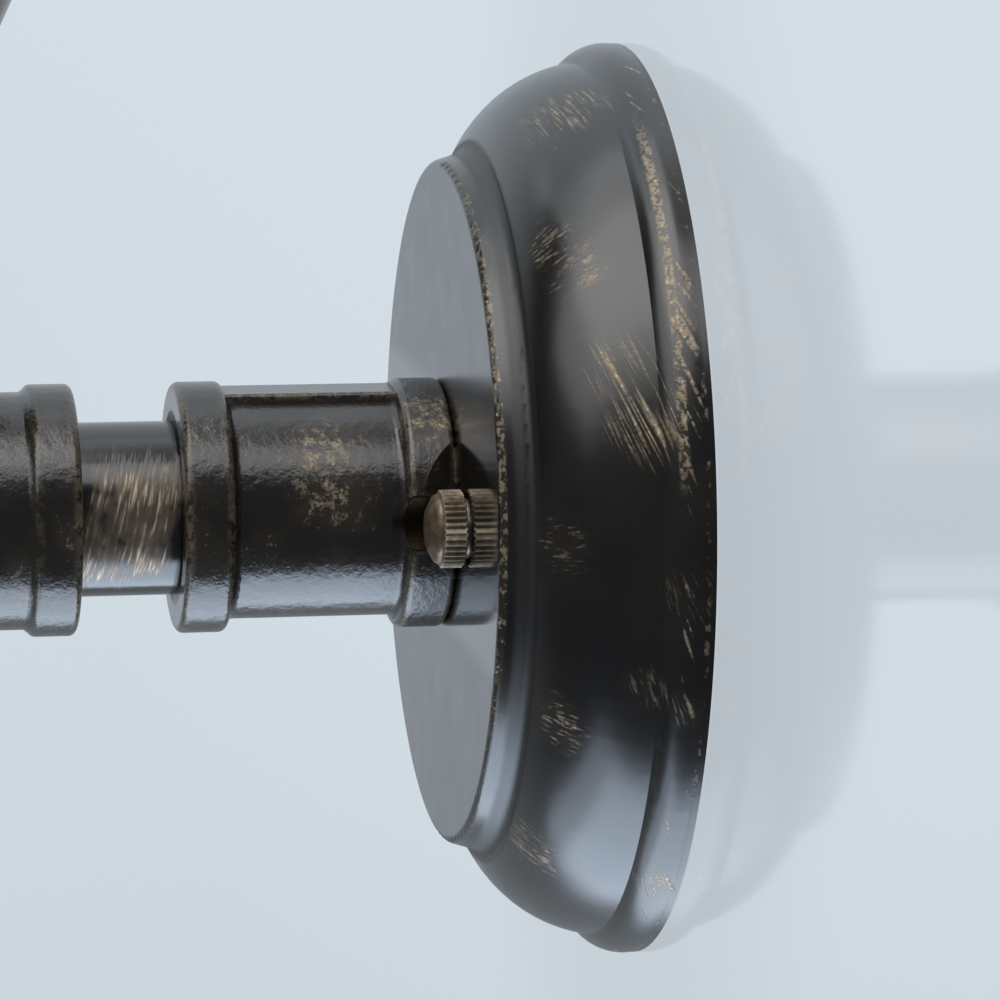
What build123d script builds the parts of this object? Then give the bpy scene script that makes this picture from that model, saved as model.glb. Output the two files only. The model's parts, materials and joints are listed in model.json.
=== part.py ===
from build123d import *
import math
import os

os.makedirs("parts", exist_ok=True)

# All sizes in millimetres. The wall is the plane y = 0, the arm runs along -Y and +Z is up.
# d is a distance from the wall along the arm, h a height above the arm's axis.

# Half-inch pipe and its threads
PIPE_R = 10.65
PIPE_BORE_R = 7.9
THREAD_GAP = 0.05
THREAD_LEN = 13.0
ENTRY_CHAMFER = 1.2
NIPPLE_CHAMFER = 0.6

# Banded malleable fittings
BAND_R = 15.4
BAND_W = 5.8
BAND_SLOPE = 0.5
BAND_ROUND = 0.9
BAND_FILLET = 0.9
COUPLING_LEN = 33.0
COUPLING_BODY_R = 13.8
RIB_R = 14.45
RIB_W = 7.8
NOTCH_X = 13.6
NOTCH_LEN = 4.2
NOTCH_TURN = 12.0
NUT_POCKET_GAP = 0.3
ARM_EXPOSED = 12.3
ELBOW_BODY_R = 14.5
ELBOW_BAND_W = 5.3
ELBOW_BAND_SLOPE = 0.9
ELBOW_BAND_FILLET = 1.5
ELBOW_REACH = 28.8
ELBOW_BEND = 15.6
ELBOW_BORE_R = 9.2

# Canopy, spun from sheet
CANOPY_R = 56.4
CANOPY_DEPTH = 22.4
CANOPY_FACE_R = 42.1
CANOPY_SHEET = 1.2
FACE_ROUND = 1.0
STEP_DROP = 2.9
STEP_FLARE = 0.9
COVE_REACH = 1.5
COVE_DROP = 1.3
RIM_HEIGHT = 5.6
CENTRE_HOLE_GAP = 0.3

# Wall bracket
BRACKET_END_GAP = 4.7
BRACKET_W = 22.0
BRACKET_SHEET = 1.8
BRACKET_RISE = 4.0
BRACKET_TOP_LEN = 52.0
BRACKET_HOLE_R = 9.0
SLOT_INNER_X = 32.65
SLOT_END = 3.75
SLOT_W = 4.6
TAB_W = 25.0
TAB_REACH = 34.0

# Studs and knurled cap nuts
STUD_SPACING = 37.8
STUD_R = 2.0
STUD_RUN_GAP = 0.06
STUD_HEAD_R = 3.6
STUD_HEAD_H = 1.6
STUD_HOLE_R = 2.3
STUD_NUT_AF = 7.0
STUD_NUT_H = 3.0
WASHER_R = 3.6
WASHER_H = 0.3
NUT_R = 4.7
NUT_FOOT = 0.3
NUT_TOOTH = 0.25
NUT_TEETH = 36
NUT_KNURL_H = 2.95
NUT_DOME_H = 1.4
NUT_BORE_H = 3.4
NUT_GRIP = 3.1

# Entry nipple, its lock nut and the cable bush
LOCK_WASHER_R = 15.2
LOCK_WASHER_H = 1.2
LOCK_NUT_AF = 27.0
LOCK_NUT_H = 5.0
NIPPLE_STICK = 1.0
BUSH_FLANGE_R = 9.8
BUSH_FLANGE_H = 1.2
BUSH_DEPTH = 5.0
BUSH_GAP = 0.1

# Cable and cores
CABLE_R = 3.2
CABLE_GAP = 0.3
CORE_R = 0.9
CORE_HEIGHT = 4.2
SWIVEL_GAP = 0.2

# Terminal block
BLOCK_W = 24.0
BLOCK_LEN = 16.0
BLOCK_H = 11.0
BLOCK_Z = 17.5
BARREL_R = 2.4
BARREL_X = 6.0
BARREL_BORE_R = 1.25
CLAMP_SCREW_R = 1.5
SMALL_GAP = 0.05

# Earth screw and lug
EARTH_X = 12.5
EARTH_Z = -7.0
EARTH_R = 2.0
EARTH_HEAD_R = 3.3
EARTH_HEAD_H = 2.2
LUG_R = 3.3
LUG_H = 0.8

# Lamp cup
RISER_EXPOSED = 12.3
CUP_NECK_R = 13.8
CUP_R = 24.6
CUP_H = 56.0
CUP_FLARE_Z = 26.9
CUP_NECK_H = 3.4
CUP_SHOULDER_ROUND = 8.0
CUP_WALL = 1.3
CUP_BEAD = 0.8
COLLAR_H = 12.0
COLLAR_ENGAGE = 10.0

# Lampholder
SADDLE_R = 14.6
SADDLE_H = 1.5
SADDLE_SCREW_X = 12.6
SCREW_R = 1.5
SCREW_HEAD_R = 2.4
SCREW_HEAD_H = 1.4
SADDLE_SCREW_LEN = 6.0
HOLDER_SCREW_Y = 6.5
HOLDER_NECK_R = 9.6
HOLDER_NECK_H = 8.0
HOLDER_R = 17.6
HOLDER_H = 39.0
WELL_FLOOR = 11.6
SHELL_R = 13.3
SHELL_WAVE = 0.6
SHELL_SHEET = 0.4
SHELL_LEN = 23.0
WELL_GAP = 0.15
CONTACT_R = 4.5
CONTACT_H = 3.6
LIVE_X = 2.6
NEUTRAL_X = -7.2
LEAD_SLOT_H = 3.4

# Bulb
BULB_GAP = 0.05
CAP_R = 13.0
CAP_WAVE = 0.7
CAP_PITCH = 3.6
CAP_SHEET = 0.35
CAP_THREAD_LEN = 18.0
CAP_RIM_LEN = 5.0
TIP_R = 4.7
TIP_H = 1.5
INSULATOR_H = 3.8
GLASS_R = 29.0
GLASS_H = 100.0
GLASS_NECK_H = 10.0
GLASS_NECK_ROUND = 25.0
GLASS_SIDE_H = 11.0
GLASS_SIDE_ROUND = 40.0
GLASS_WALL = 0.8
GLASS_NECK_GAP = 0.15
STEM_H = 39.0
ROD_H = 82.0
ROD_R = 0.9
HOOKS = 6
HOOK_LOW_H = 40.5
HOOK_HIGH_H = 80.0
HOOK_LOW_R = 10.0
HOOK_HIGH_R = 8.0
SUPPORT_R = 0.35
FILAMENT_R = 0.28

# Derived positions
THREAD_R = PIPE_R + THREAD_GAP
FACE_IN = CANOPY_DEPTH - CANOPY_SHEET
COUPLING_END = CANOPY_DEPTH + COUPLING_LEN
ELBOW_D = COUPLING_END + ARM_EXPOSED
HEAD_D = ELBOW_D + ELBOW_REACH
CUP_Z = ELBOW_REACH + RISER_EXPOSED
ENTRY_END = FACE_IN - LOCK_WASHER_H - LOCK_NUT_H - NIPPLE_STICK
BRACKET_FRONT = BRACKET_RISE + BRACKET_SHEET
CORE_D = BRACKET_FRONT + CORE_HEIGHT
SHEATH_END = ENTRY_END - BUSH_FLANGE_H - SMALL_GAP
SWIVEL_D = ELBOW_D + THREAD_LEN / 2
STUD_X = STUD_SPACING / 2
NUT_D = CANOPY_DEPTH + WASHER_H
SADDLE_Z = CUP_Z + COLLAR_H
HOLDER_Z = SADDLE_Z + SADDLE_H
FLOOR_Z = HOLDER_Z + WELL_FLOOR
WELL_R = SHELL_R + SHELL_WAVE + SHELL_SHEET + WELL_GAP
TIP_Z = FLOOR_Z + CONTACT_H + BULB_GAP
CAP_Z = TIP_Z + TIP_H + INSULATOR_H
CAP_TOP = CAP_Z + CAP_THREAD_LEN + CAP_RIM_LEN
GLASS_Z = CAP_TOP - CAP_RIM_LEN
GLASS_NECK_R = CAP_R - CAP_SHEET - GLASS_NECK_GAP
HEAD = Pos(0, -HEAD_D, 0)


def unit(v):
    return v * (1 / v.length)


def corner(before, at, after, radius):
    """Start, middle and end of an arc that rounds a corner."""
    u = unit(before - at)
    v = unit(after - at)
    half = math.acos(max(-1.0, min(1.0, u.dot(v)))) / 2
    run = radius / math.tan(half)
    middle = unit(u + v)
    return at + u * run, at + middle * (radius / math.sin(half) - radius), at + v * run


def rounded_edges(points, closed):
    """Lines and arcs through 3-D points given as (vector, corner radius)."""
    count = len(points)
    turns = []
    for i, (at, radius) in enumerate(points):
        inner = closed or 0 < i < count - 1
        if radius and inner:
            turns.append(corner(points[i - 1][0], at, points[(i + 1) % count][0], radius))
        else:
            turns.append((at, at, at))
    edges = []
    for i, (start, middle, end) in enumerate(turns):
        if (end - start).length > 1e-6:
            edges.append(ThreePointArc(start, middle, end))
        if closed or i < count - 1:
            follow = turns[(i + 1) % count][0]
            if (follow - end).length > 1e-6:
                edges.append(Line(end, follow))
    return edges


def section(points, place):
    """Closed face from (a, b) or (a, b, corner radius), put in space by place."""
    placed = [(Vector(*place(p[0], p[1])), p[2] if len(p) > 2 else 0) for p in points]
    return make_face(rounded_edges(placed, True))


def on_wall_axis(r, d):
    return (r, -d, 0)


def on_head_axis(r, h):
    return (r, 0, h)


def across(x, z):
    return (x, 0, z)


def turned_arm(points):
    """Body of revolution about the arm's axis from (r, d) points."""
    return revolve(section(points, on_wall_axis), Axis.Y)


def turned_head(points):
    """Body of revolution about a vertical axis from (r, h) points."""
    return revolve(section(points, on_head_axis), Axis.Z)


def prism_arm(points, d, height):
    """Prism from (x, z) points, standing away from the wall from depth d."""
    return Pos(0, -d, 0) * extrude(section(points, across), height, dir=(0, -1, 0))


def rod_arm(r, d, height, x=0.0, z=0.0):
    return Pos(x, -d - height / 2, z) * Rot(90, 0, 0) * Cylinder(r, height)


def rod_up(r, h, height, x=0.0, y=0.0):
    return Pos(x, y, h + height / 2) * Cylinder(r, height)


def ring_arm(r_in, r_out, d, height):
    return turned_arm([(r_in, d), (r_out, d), (r_out, d + height), (r_in, d + height)])


def hexagon(across_flats):
    r = across_flats / math.sqrt(3)
    turns = [math.radians(60 * k + 30) for k in range(6)]
    return [(r * math.cos(t), r * math.sin(t)) for t in turns]


def lead(points, r, bend):
    """Round lead through points, bent at each inner one."""
    path = [Vector(*p) for p in points]
    wire = Wire(rounded_edges([(p, bend) for p in path], False))
    start = Plane(origin=path[0], z_dir=path[1] - path[0])
    return sweep(start * Circle(r), path=wire)


def straight_rod(start, end, r):
    run = Vector(*end) - Vector(*start)
    return Plane(origin=start, z_dir=run) * Pos(0, 0, run.length / 2) * Cylinder(r, run.length)


def bowed(start, end, share):
    """Point beside the middle of a chord, for an arc that bows out by a share of its length."""
    dr = end[0] - start[0]
    dd = end[1] - start[1]
    return ((start[0] + end[0]) / 2 - dd * share, (start[1] + end[1]) / 2 + dr * share)


def save(name, solid):
    export_step(solid, f"parts/{name}.step")


# Canopy: flat face, flared step with a cove, broad round and rim bead
def canopy_face(shift):
    face = (CANOPY_FACE_R - shift, CANOPY_DEPTH - shift)
    step = (CANOPY_FACE_R + STEP_FLARE - shift, CANOPY_DEPTH - STEP_DROP - shift)
    cove = (step[0] + COVE_REACH, step[1] - COVE_DROP)
    groove = (CANOPY_R - 2.4 - shift, RIM_HEIGHT - shift)
    rim = (CANOPY_R - shift, 0.7 - shift)
    foot = min(0.0, rim[1] - 1.0) if shift else 0.0
    path = [Line(on_wall_axis(0, face[1]), on_wall_axis(*face))]
    path.append(Line(on_wall_axis(*face), on_wall_axis(*step)))
    for start, end, share in [(step, cove, -0.2), (cove, groove, 0.12), (groove, rim, 0.15)]:
        middle = bowed(start, end, share)
        path.append(ThreePointArc(on_wall_axis(*start), on_wall_axis(*middle), on_wall_axis(*end)))
    path.append(Line(on_wall_axis(*rim), on_wall_axis(rim[0], foot)))
    path.append(Line(on_wall_axis(rim[0], foot), on_wall_axis(0, foot)))
    path.append(Line(on_wall_axis(0, foot), on_wall_axis(0, face[1])))
    return make_face(path)


canopy = revolve(canopy_face(0.0), Axis.Y) - revolve(canopy_face(CANOPY_SHEET), Axis.Y)
canopy = canopy - rod_arm(PIPE_R + CENTRE_HOLE_GAP, FACE_IN - 1, CANOPY_SHEET + 2)
for side in (-1, 1):
    canopy = canopy - rod_arm(STUD_HOLE_R, FACE_IN - 1, CANOPY_SHEET + 2, side * STUD_X)
face_edge = canopy.edges().filter_by(GeomType.CIRCLE)
face_edge = [e for e in face_edge if abs(e.radius - CANOPY_FACE_R) < 0.01]
canopy = fillet(face_edge, FACE_ROUND)
save("canopy", canopy)

# Wall bracket: raised middle, slotted feet, tab for the terminal block
half_len = CANOPY_R - CANOPY_SHEET - BRACKET_END_GAP
half_top = BRACKET_TOP_LEN / 2
slope = BRACKET_RISE * 0.9
slot_outer_x = half_len - SLOT_END
slot_mid_x = (SLOT_INNER_X + slot_outer_x) / 2
slot_len = slot_outer_x - SLOT_INNER_X
strip = [
    (-half_len, 0),
    (-half_top - slope, 0, 1.0),
    (-half_top, BRACKET_RISE, 1.0),
    (half_top, BRACKET_RISE, 1.0),
    (half_top + slope, 0, 1.0),
    (half_len, 0),
    (half_len, BRACKET_SHEET),
    (half_top + slope - 0.9, BRACKET_SHEET, 1.0),
    (half_top - 0.9, BRACKET_FRONT, 1.0),
    (-half_top + 0.9, BRACKET_FRONT, 1.0),
    (-half_top - slope + 0.9, BRACKET_SHEET, 1.0),
    (-half_len, BRACKET_SHEET),
]
bracket = Pos(0, 0, -BRACKET_W / 2) * extrude(section(strip, on_wall_axis), BRACKET_W, dir=(0, 0, 1))
tab_h = TAB_REACH
bracket = bracket + Pos(0, -BRACKET_RISE - BRACKET_SHEET / 2, tab_h / 2) * Box(TAB_W, BRACKET_SHEET, tab_h)
bracket = bracket - rod_arm(BRACKET_HOLE_R, BRACKET_RISE - 1, BRACKET_SHEET + 2)
for side in (-1, 1):
    bracket = bracket - rod_arm(STUD_R + SMALL_GAP, BRACKET_RISE - 1, BRACKET_SHEET + 2, side * STUD_X)
    slot = extrude(SlotOverall(slot_len, SLOT_W), BRACKET_SHEET + 2)
    slot = Pos(side * slot_mid_x, 1, 0) * Rot(90, 0, 0) * slot
    bracket = bracket - slot
bracket = bracket - rod_arm(EARTH_R + SMALL_GAP, BRACKET_RISE - 1, BRACKET_SHEET + 2, EARTH_X, EARTH_Z)
block_mid = BLOCK_Z + BLOCK_LEN / 2
bracket = bracket - rod_arm(CLAMP_SCREW_R + SMALL_GAP, BRACKET_RISE - 1, BRACKET_SHEET + 2, 0, block_mid)
save("mounting_bracket", bracket)

# Studs, their hex nuts on the bracket, and the knurled cap nuts outside
stud_end = NUT_D + NUT_GRIP
stud = rod_arm(STUD_HEAD_R, BRACKET_RISE - STUD_HEAD_H, STUD_HEAD_H)
stud = stud + rod_arm(STUD_R, BRACKET_RISE, stud_end - BRACKET_RISE)
stud_nut = prism_arm(hexagon(STUD_NUT_AF), BRACKET_FRONT, STUD_NUT_H)
stud_nut = stud_nut - rod_arm(STUD_R + SMALL_GAP, BRACKET_FRONT - 1, STUD_NUT_H + 2)
save("bracket_studs", Pos(-STUD_X, 0, 0) * stud + Pos(STUD_X, 0, 0) * stud)
save("stud_lock_nuts", Pos(-STUD_X, 0, 0) * stud_nut + Pos(STUD_X, 0, 0) * stud_nut)

nut_top = NUT_KNURL_H + NUT_DOME_H
nut_outline = [
    (0, 0),
    (NUT_R - NUT_FOOT, 0),
    (NUT_R, NUT_FOOT),
    (NUT_R, NUT_KNURL_H - 0.3),
    (NUT_R - 0.45, NUT_KNURL_H),
    (NUT_R * 0.86, NUT_KNURL_H + NUT_DOME_H * 0.38, 0.8),
    (NUT_R * 0.5, nut_top, 1.6),
    (0, nut_top),
]
teeth = []
for k in range(2 * NUT_TEETH):
    turn = math.pi * k / NUT_TEETH
    reach = NUT_R + 0.02 if k % 2 else NUT_R - NUT_TOOTH
    teeth.append((reach * math.cos(turn), reach * math.sin(turn)))
knurl = prism_arm(teeth, 0, NUT_KNURL_H) + rod_arm(NUT_R + 0.5, NUT_KNURL_H, NUT_DOME_H + 1)
nut = turned_arm(nut_outline) & knurl
nut = nut - rod_arm(STUD_R + STUD_RUN_GAP, -1, NUT_BORE_H + 1)
nut_washer = ring_arm(STUD_R + STUD_RUN_GAP, WASHER_R, CANOPY_DEPTH, WASHER_H)
for name, side in (("left", -1), ("right", 1)):
    save(f"knurled_nut_{name}", Pos(side * STUD_X, -NUT_D, 0) * nut)
    save(f"nut_washer_{name}", Pos(side * STUD_X, 0, 0) * nut_washer)


# Pipe nipples with chamfered ends
def nipple(start, end, turned):
    return turned(
        [
            (PIPE_BORE_R, start),
            (PIPE_R - NIPPLE_CHAMFER, start),
            (PIPE_R, start + NIPPLE_CHAMFER),
            (PIPE_R, end - NIPPLE_CHAMFER),
            (PIPE_R - NIPPLE_CHAMFER, end),
            (PIPE_BORE_R, end),
        ]
    )


save("entry_nipple", nipple(ENTRY_END, CANOPY_DEPTH + THREAD_LEN, turned_arm))
save("arm_nipple", nipple(COUPLING_END - THREAD_LEN, ELBOW_D + THREAD_LEN, turned_arm))
save("riser_nipple", HEAD * nipple(ELBOW_REACH - THREAD_LEN, CUP_Z + COLLAR_ENGAGE, turned_head))

lock_washer_d = FACE_IN - LOCK_WASHER_H
save("lock_washer", ring_arm(PIPE_R + THREAD_GAP, LOCK_WASHER_R, lock_washer_d, LOCK_WASHER_H))
lock_nut = prism_arm(hexagon(LOCK_NUT_AF), lock_washer_d - LOCK_NUT_H, LOCK_NUT_H)
lock_nut = lock_nut - rod_arm(THREAD_R, lock_washer_d - LOCK_NUT_H - 1, LOCK_NUT_H + 2)
save("lock_nut", lock_nut)
bush_in = CABLE_R + CABLE_GAP
bush = [
    (bush_in, ENTRY_END - BUSH_FLANGE_H, 0.4),
    (BUSH_FLANGE_R, ENTRY_END - BUSH_FLANGE_H, 0.4),
    (BUSH_FLANGE_R, ENTRY_END),
    (PIPE_BORE_R - BUSH_GAP, ENTRY_END),
    (PIPE_BORE_R - BUSH_GAP, ENTRY_END + BUSH_DEPTH),
    (bush_in, ENTRY_END + BUSH_DEPTH),
]
save("cable_bush", turned_arm(bush))

# Straight coupling: two bands, a rib on top, and a pocket and a filed corner at each knurled nut
near = CANOPY_DEPTH
far = COUPLING_END
coupling = turned_arm(
    [
        (THREAD_R, near + ENTRY_CHAMFER),
        (THREAD_R + ENTRY_CHAMFER, near),
        (BAND_R, near, BAND_ROUND),
        (BAND_R, near + BAND_W, BAND_ROUND),
        (COUPLING_BODY_R, near + BAND_W + BAND_SLOPE, BAND_FILLET),
        (COUPLING_BODY_R, far - BAND_W - BAND_SLOPE, BAND_FILLET),
        (BAND_R, far - BAND_W, BAND_ROUND),
        (BAND_R, far, BAND_ROUND),
        (THREAD_R + ENTRY_CHAMFER, far),
        (THREAD_R, far - ENTRY_CHAMFER),
    ]
)
rib_foot = COUPLING_BODY_R - 1.6
rib_outline = [
    (-RIB_W / 2 - 0.6, rib_foot),
    (-RIB_W / 2, RIB_R, 0.5),
    (RIB_W / 2, RIB_R, 0.5),
    (RIB_W / 2 + 0.6, rib_foot),
]
rib_start = near + BAND_W - 1
coupling = coupling + prism_arm(rib_outline, rib_start, COUPLING_LEN - 2 * BAND_W + 2)
flat = [
    (NOTCH_X, near),
    (BAND_R, near + NOTCH_LEN),
    (BAND_R + 3, near + NOTCH_LEN),
    (BAND_R + 3, near - 1),
    (NOTCH_X, near - 1),
]
flat_cut = Pos(0, 0, -BAND_R) * extrude(section(flat, on_wall_axis), 2 * BAND_R, dir=(0, 0, 1))
coupling = coupling - Rot(0, -NOTCH_TURN, 0) * flat_cut - Rot(0, 180 + NOTCH_TURN, 0) * flat_cut
pocket_len = NUT_D + nut_top + NUT_GRIP - near + 1
for side in (-1, 1):
    coupling = coupling - rod_arm(NUT_R + NUT_POCKET_GAP, near - 1, pocket_len, side * STUD_X)
save("coupling", coupling)

# Elbow: swept body with a band and a threaded mouth at each end
elbow_path = [(0, -ELBOW_D, 0), (0, -HEAD_D, 0), (0, -HEAD_D, ELBOW_REACH)]
band_foot = ELBOW_BAND_W + ELBOW_BAND_SLOPE
band = [
    (ELBOW_BODY_R - 2, 0),
    (BAND_R, 0, BAND_ROUND),
    (BAND_R, ELBOW_BAND_W, BAND_ROUND),
    (ELBOW_BODY_R, band_foot, ELBOW_BAND_FILLET),
    (ELBOW_BODY_R - 0.3, band_foot + 2),
    (ELBOW_BODY_R - 2, band_foot + 2),
]
mouth = [
    (0, -1),
    (THREAD_R + ENTRY_CHAMFER + 1, -1),
    (THREAD_R, ENTRY_CHAMFER),
    (THREAD_R, THREAD_LEN + 0.4),
    (0, THREAD_LEN + 0.4),
]
run_end = Pos(0, -ELBOW_D, 0)
top_end = Pos(0, -HEAD_D, ELBOW_REACH) * Rot(90, 0, 0)
elbow = lead(elbow_path, ELBOW_BODY_R, ELBOW_BEND)
elbow = elbow + run_end * turned_arm(band) + top_end * turned_arm(band)
elbow = elbow - lead(elbow_path, ELBOW_BORE_R, ELBOW_BEND)
elbow = elbow - run_end * turned_arm(mouth) - top_end * turned_arm(mouth)
save("elbow", elbow)

# Cable and cores from the terminal block to the lampholder
save("arm_cable", rod_arm(CABLE_R, SHEATH_END, SWIVEL_D - SHEATH_END))
save(
    "head_cable",
    lead(
        [(0, -SWIVEL_D - SWIVEL_GAP, 0), (0, -HEAD_D, 0), (0, -HEAD_D, HOLDER_Z - SMALL_GAP)],
        CABLE_R,
        ELBOW_BEND,
    ),
)
core_y = -CORE_D
for name, side in (("live", 1), ("neutral", -1)):
    x = side * 1.5
    route = [
        (x, -SHEATH_END, 0.8),
        (x, core_y, 0.8),
        (x, core_y, 4.0),
        (side * BARREL_X, core_y, BLOCK_Z - 4.0),
        (side * BARREL_X, core_y, BLOCK_Z + 5.0),
    ]
    save(f"core_{name}", lead(route, CORE_R, 1.3))
lug_d = BRACKET_FRONT
wire_d = lug_d + LUG_H + CORE_R
earth_route = [
    (0, -SHEATH_END, -1.8),
    (0, -wire_d, -1.8),
    (0, -wire_d, -4.5),
    (EARTH_X - LUG_R - 3.0, -wire_d, EARTH_Z),
    (EARTH_X - LUG_R - 0.4, -wire_d, EARTH_Z),
]
save("earth_wire", lead(earth_route, CORE_R, 1.0))
lug = rod_arm(LUG_R, lug_d, LUG_H, EARTH_X, EARTH_Z)
lug = lug + Pos(EARTH_X - LUG_R, -lug_d - LUG_H / 2, EARTH_Z) * Box(5.0, LUG_H, 3.2)
lug = lug - rod_arm(EARTH_R + SMALL_GAP, lug_d - 1, LUG_H + 2, EARTH_X, EARTH_Z)
save("earth_lug", lug)
earth_screw = rod_arm(EARTH_R, BRACKET_RISE - 0.5, BRACKET_SHEET + LUG_H + 0.5, EARTH_X, EARTH_Z)
earth_screw = earth_screw + rod_arm(EARTH_HEAD_R, lug_d + LUG_H, EARTH_HEAD_H, EARTH_X, EARTH_Z)
save("earth_screw", earth_screw)

# Terminal block with its brass barrels, clamp screws and fixing screw
block_top = BRACKET_FRONT + BLOCK_H
block = Pos(0, -BRACKET_FRONT - BLOCK_H / 2, block_mid) * Box(BLOCK_W, BLOCK_H, BLOCK_LEN)
barrels = None
clamp_screws = None
for side in (-1, 1):
    x = side * BARREL_X
    block = block - Pos(0, core_y, 0) * rod_up(BARREL_R + SMALL_GAP, BLOCK_Z - 1, BLOCK_LEN + 2, x)
    barrel = Pos(0, core_y, 0) * rod_up(BARREL_R, BLOCK_Z + 1, BLOCK_LEN - 2, x)
    barrel = barrel - Pos(0, core_y, 0) * rod_up(BARREL_BORE_R, BLOCK_Z, BLOCK_LEN, x)
    for shift in (-4, 4):
        z = block_mid + shift
        block = block - rod_arm(CLAMP_SCREW_R + 0.2, CORE_D + 1, BLOCK_H, x, z)
        barrel = barrel - rod_arm(CLAMP_SCREW_R + SMALL_GAP, CORE_D, BARREL_R + 1, x, z)
        screw = rod_arm(CLAMP_SCREW_R, CORE_D + CORE_R + SMALL_GAP, block_top - CORE_D - CORE_R - 1.0, x, z)
        clamp_screws = screw if clamp_screws is None else clamp_screws + screw
    barrels = barrel if barrels is None else barrels + barrel
block = block - rod_arm(CLAMP_SCREW_R + 0.2, BRACKET_FRONT - 1, BLOCK_H + 2, 0, block_mid)
block = block - rod_arm(SCREW_HEAD_R + 0.3, block_top - 2.5, 4, 0, block_mid)
block_screw = rod_arm(CLAMP_SCREW_R, BRACKET_RISE - 0.5, block_top - 2.5 - BRACKET_RISE + 0.5, 0, block_mid)
block_screw = block_screw + rod_arm(SCREW_HEAD_R, block_top - 2.5, 1.6, 0, block_mid)
save("terminal_block", block)
save("terminal_barrels", barrels)
save("clamp_screws", clamp_screws)
save("block_screw", block_screw)

# Lamp cup with its threaded collar
cup_shoulder = CUP_Z + CUP_FLARE_Z
cup_rim = CUP_Z + CUP_H
cup_in = CUP_R - CUP_WALL
floor_r = SADDLE_R + 0.6
up = on_head_axis
cup = turned_head(
    [
        (floor_r, SADDLE_Z),
        (THREAD_R, SADDLE_Z),
        (THREAD_R, CUP_Z + ENTRY_CHAMFER),
        (THREAD_R + ENTRY_CHAMFER, CUP_Z),
        (CUP_NECK_R, CUP_Z, BAND_ROUND),
        (CUP_NECK_R, CUP_Z + CUP_NECK_H, 3.0),
        (CUP_R, cup_shoulder, CUP_SHOULDER_ROUND),
        (CUP_R, cup_rim - 3.6, 0.6),
        (CUP_R + CUP_BEAD, cup_rim - 2.8, 0.6),
        (CUP_R + CUP_BEAD, cup_rim, 0.7),
        (cup_in, cup_rim, 0.4),
        (cup_in, cup_shoulder, CUP_SHOULDER_ROUND - CUP_WALL),
    ]
)
for side in (-1, 1):
    screw_foot = SADDLE_Z - SADDLE_SCREW_LEN - 0.5
    cup = cup - rod_up(SCREW_R + SMALL_GAP, screw_foot, SADDLE_SCREW_LEN + 1.5, side * SADDLE_SCREW_X)
save("lamp_cup", HEAD * cup)

# Saddle plate and screws that hold the lampholder in the cup
saddle = rod_up(SADDLE_R, SADDLE_Z, SADDLE_H) - rod_up(CABLE_R + CABLE_GAP, SADDLE_Z - 1, SADDLE_H + 2)
saddle_screws = None
holder_screws = None
holder_screw_len = HOLDER_NECK_H - 2.0
for side in (-1, 1):
    x = side * SADDLE_SCREW_X
    y = side * HOLDER_SCREW_Y
    saddle = saddle - rod_up(SCREW_R + SMALL_GAP, SADDLE_Z - 1, SADDLE_H + 2, x)
    saddle = saddle - rod_up(SCREW_R + SMALL_GAP, SADDLE_Z - 1, SADDLE_H + 2, 0, y)
    down = rod_up(SCREW_R, SADDLE_Z - SADDLE_SCREW_LEN, SADDLE_SCREW_LEN + SADDLE_H, x)
    down = down + rod_up(SCREW_HEAD_R, HOLDER_Z, SCREW_HEAD_H, x)
    rise = rod_up(SCREW_R, SADDLE_Z, SADDLE_H + holder_screw_len, 0, y)
    rise = rise + rod_up(SCREW_HEAD_R, SADDLE_Z - SCREW_HEAD_H, SCREW_HEAD_H, 0, y)
    saddle_screws = down if saddle_screws is None else saddle_screws + down
    holder_screws = rise if holder_screws is None else holder_screws + rise
save("holder_saddle", HEAD * saddle)
save("saddle_screws", HEAD * saddle_screws)
save("holder_screws", HEAD * holder_screws)

# Lampholder: porcelain body, screw shell, centre contact and leads
holder_top = HOLDER_Z + HOLDER_H
holder = turned_head(
    [
        (0, HOLDER_Z),
        (HOLDER_NECK_R, HOLDER_Z, 0.5),
        (HOLDER_NECK_R, HOLDER_Z + HOLDER_NECK_H, 1.0),
        (HOLDER_R, HOLDER_Z + HOLDER_NECK_H + 2.0, 1.0),
        (HOLDER_R, holder_top, 1.0),
        (WELL_R, holder_top, 0.8),
        (WELL_R, FLOOR_Z),
        (0, FLOOR_Z),
    ]
)
slot_w = 2 * (CORE_R + 1.0)
slot_x0 = NEUTRAL_X - CORE_R - 0.4
slot_x1 = CABLE_R + 1.5
lead_slot = Pos((slot_x0 + slot_x1) / 2, 0, HOLDER_Z + LEAD_SLOT_H / 2 - 0.5)
holder = holder - lead_slot * Box(slot_x1 - slot_x0, slot_w, LEAD_SLOT_H + 1)
for x in (LIVE_X, NEUTRAL_X):
    holder = holder - rod_up(CORE_R + 0.4, HOLDER_Z + 1, WELL_FLOOR, x)
for side in (-1, 1):
    screw_y = side * HOLDER_SCREW_Y
    holder = holder - rod_up(SCREW_R + SMALL_GAP, HOLDER_Z - 1, holder_screw_len + 1.5, 0, screw_y)
save("holder_insulator", HEAD * holder)


def waves(r, wave, start, length):
    """Screw-shell profile as (r, h) points, from the bottom up."""
    turns = max(2, round(length / CAP_PITCH))
    step = length / turns
    points = []
    for k in range(turns):
        points += [(r + wave, start + (k + 0.15) * step), (r + wave, start + (k + 0.35) * step)]
        points += [(r, start + (k + 0.65) * step), (r, start + (k + 0.85) * step)]
    return points


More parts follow.
